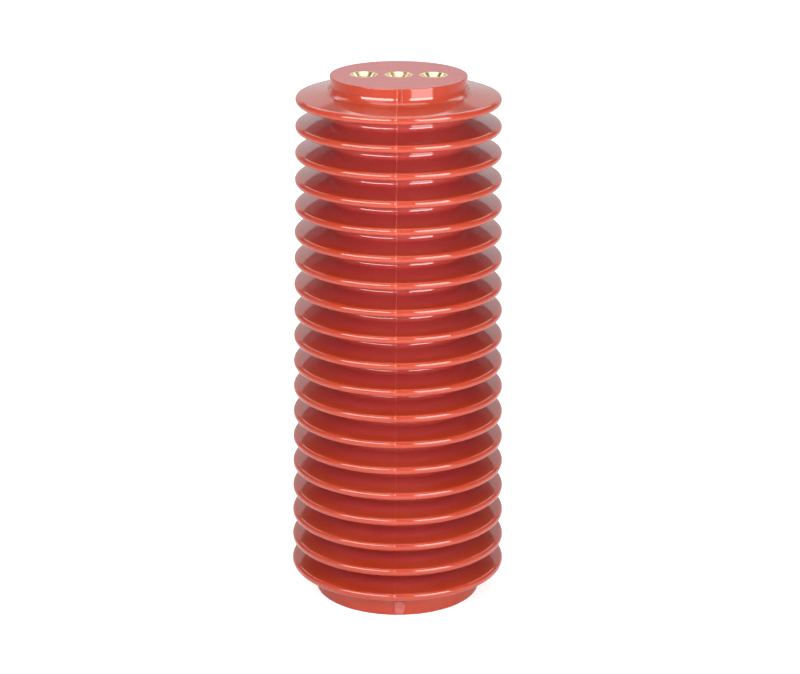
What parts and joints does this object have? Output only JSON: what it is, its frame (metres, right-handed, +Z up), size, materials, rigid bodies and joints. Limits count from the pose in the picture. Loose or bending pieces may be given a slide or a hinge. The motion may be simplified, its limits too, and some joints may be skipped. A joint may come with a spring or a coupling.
{
  "type": "post insulator",
  "caption": "Rigid upright cast-resin post insulator: a stack of round sheds on a tapering core, flat boss at each end, brass threaded inserts in both faces, electrodes inside",
  "frame": {"origin": "centre of the flat bottom face, which the insulator stands on", "axes": "+Z up the insulator's axis to the top face; X along the row of top inserts; -Y is the front, with the gate mark"},
  "size_m": [0.154, 0.154, 0.38],
  "materials": {
    "resin": "glossy cast epoxy, red-brown",
    "insert_brass": "turned",
    "electrode_aluminium": "cast, rounded edges",
    "screw_steel": "plain"
  },
  "bodies": {
    "root": {"resin_body": "resin", "top_insert_left": "insert_brass", "top_electrode_screw_left": "screw_steel", "top_insert_centre": "insert_brass", "top_electrode_screw_centre": "screw_steel", "top_insert_right": "insert_brass", "top_electrode_screw_right": "screw_steel", "bottom_insert_1": "insert_brass", "bottom_electrode_screw_1": "screw_steel", "bottom_insert_2": "insert_brass", "bottom_electrode_screw_2": "screw_steel", "bottom_insert_3": "insert_brass", "bottom_electrode_screw_3": "screw_steel", "bottom_insert_4": "insert_brass", "bottom_electrode_screw_4": "screw_steel", "top_electrode": "electrode_aluminium", "bottom_electrode": "electrode_aluminium"}
  },
  "joints": []
}
